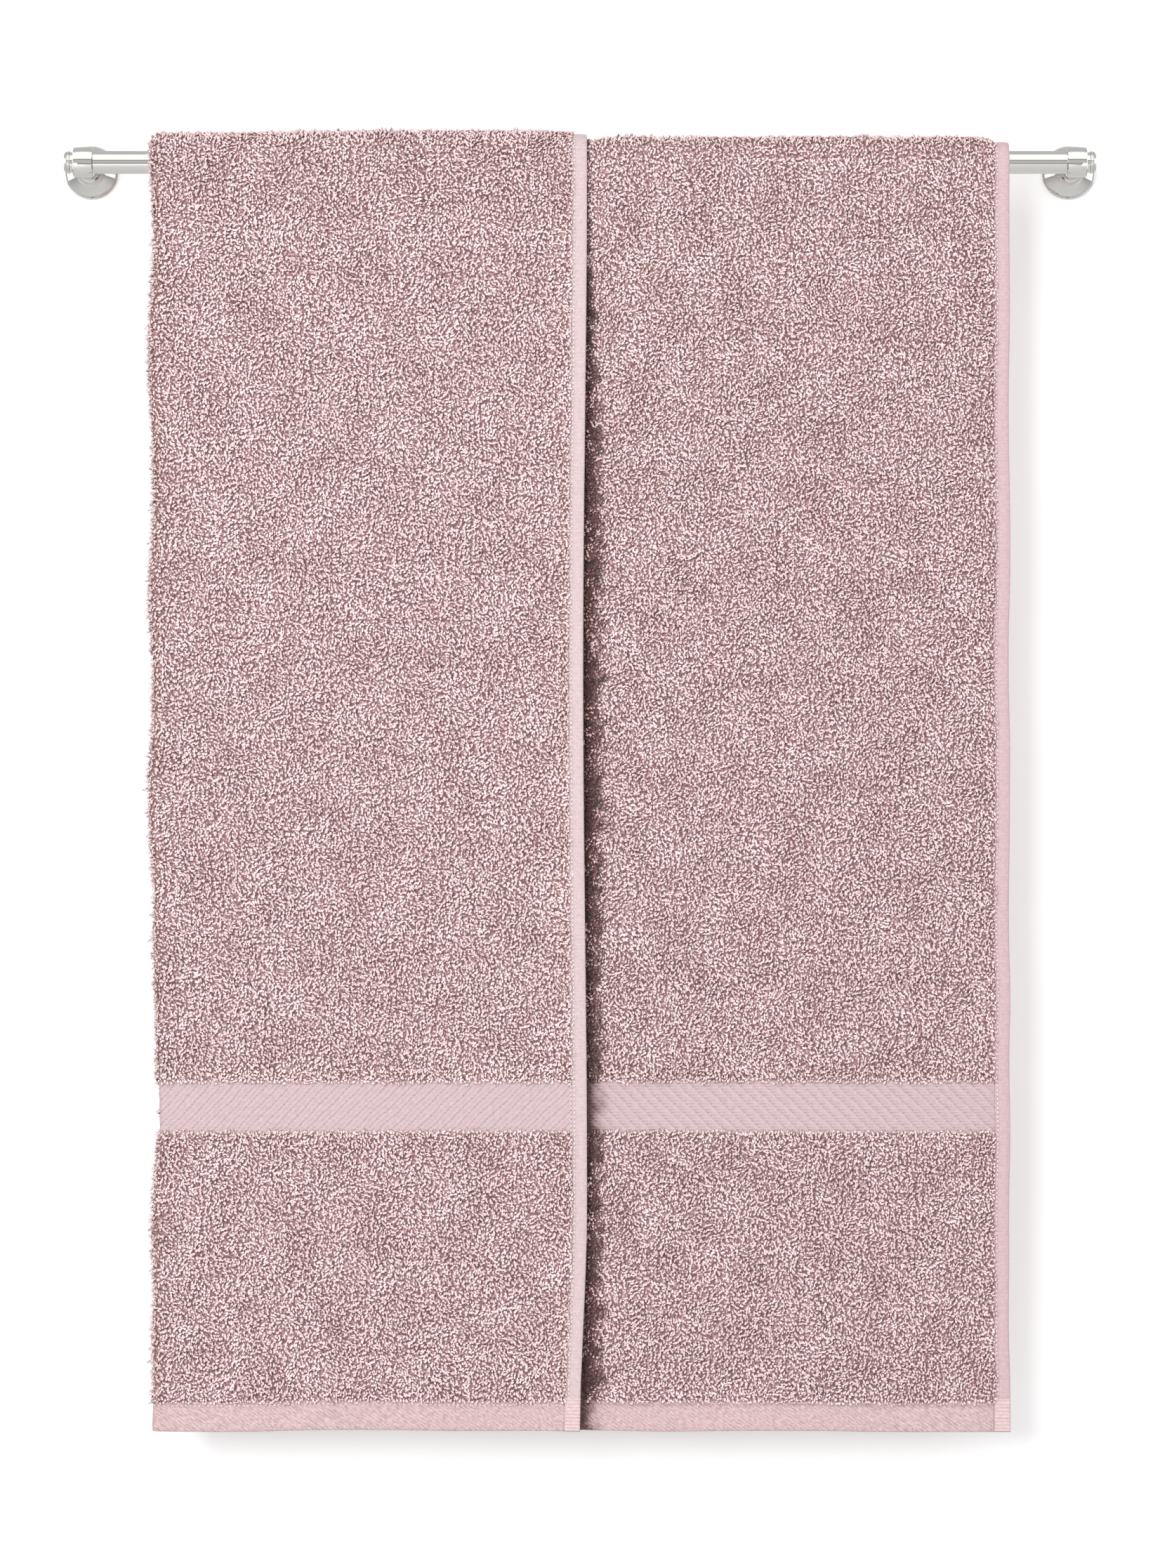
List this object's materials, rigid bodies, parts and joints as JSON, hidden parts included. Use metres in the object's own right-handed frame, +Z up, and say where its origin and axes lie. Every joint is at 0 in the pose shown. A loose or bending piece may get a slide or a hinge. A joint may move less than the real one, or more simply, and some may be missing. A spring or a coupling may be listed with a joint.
{
  "type": "bath towel on wall rail",
  "caption": "Terry bath towel folded along its length, flap to the front, hung over a short chromed wall rail on two flanged posts.",
  "frame": {"origin": "on the wall plane, midway between the two posts, at the height of the rail's centre line", "axes": "+X along the rail to the right as seen from the room, +Y into the wall, +Z up"},
  "size_m": [0.6116, 0.1067, 0.7585],
  "materials": {
    "chrome": "polished chrome plate on brass",
    "steel": "zinc-plated steel",
    "terry_pile": "looped cotton terry, dusty pink",
    "flat_weave": "flat woven cotton, dusty pink"
  },
  "bodies": {
    "wall_rail": {"rail_tube": "chrome", "left_end_cap": "chrome", "left_post": "chrome", "left_flange": "chrome", "left_wall_plate": "steel", "left_post_screw": "steel", "left_grub_screw": "steel", "left_upper_wall_screw": "steel", "left_lower_wall_screw": "steel", "right_end_cap": "chrome", "right_post": "chrome", "right_flange": "chrome", "right_wall_plate": "steel", "right_post_screw": "steel", "right_grub_screw": "steel", "right_upper_wall_screw": "steel", "right_lower_wall_screw": "steel"},
    "towel": {"base_pile_bend": "terry_pile", "base_pile_saddle": "terry_pile", "base_pile_back": "terry_pile", "base_back_border": "flat_weave", "base_back_tail": "terry_pile", "base_back_end_hem": "flat_weave", "base_side_hem_bend": "flat_weave", "base_side_hem_saddle": "flat_weave", "base_side_hem_back": "flat_weave", "flap_pile_bend": "terry_pile", "flap_pile_saddle": "terry_pile", "flap_pile_back": "terry_pile", "flap_back_border": "flat_weave", "flap_back_tail": "terry_pile", "flap_back_end_hem": "flat_weave", "flap_side_hem_bend": "flat_weave", "flap_side_hem_saddle": "flat_weave", "flap_side_hem_back": "flat_weave", "left_fold_bend": "terry_pile", "left_fold_saddle": "terry_pile", "left_fold_back": "terry_pile"},
    "front_drop": {"base_pile_front": "terry_pile", "base_front_border": "flat_weave", "base_front_tail": "terry_pile", "base_front_end_hem": "flat_weave", "base_side_hem_front": "flat_weave", "flap_pile_front": "terry_pile", "flap_front_border": "flat_weave", "flap_front_tail": "terry_pile", "flap_front_end_hem": "flat_weave", "flap_side_hem_front": "flat_weave", "left_fold_front": "terry_pile"}
  },
  "joints": [
    {"name": "towel_slide", "type": "slide", "parent": "wall_rail", "child": "towel", "axis": [1, 0, 0], "range_m": [-0.031, 0.031]},
    {"name": "front_drop_swing", "type": "hinge", "parent": "towel", "child": "front_drop", "pos_m": [0, -0.06, 0], "axis": [1, 0, 0], "range_deg": [-40, 0], "deforming": ["base_pile_bend", "flap_pile_bend", "base_side_hem_bend", "flap_side_hem_bend", "left_fold_bend"]}
  ]
}
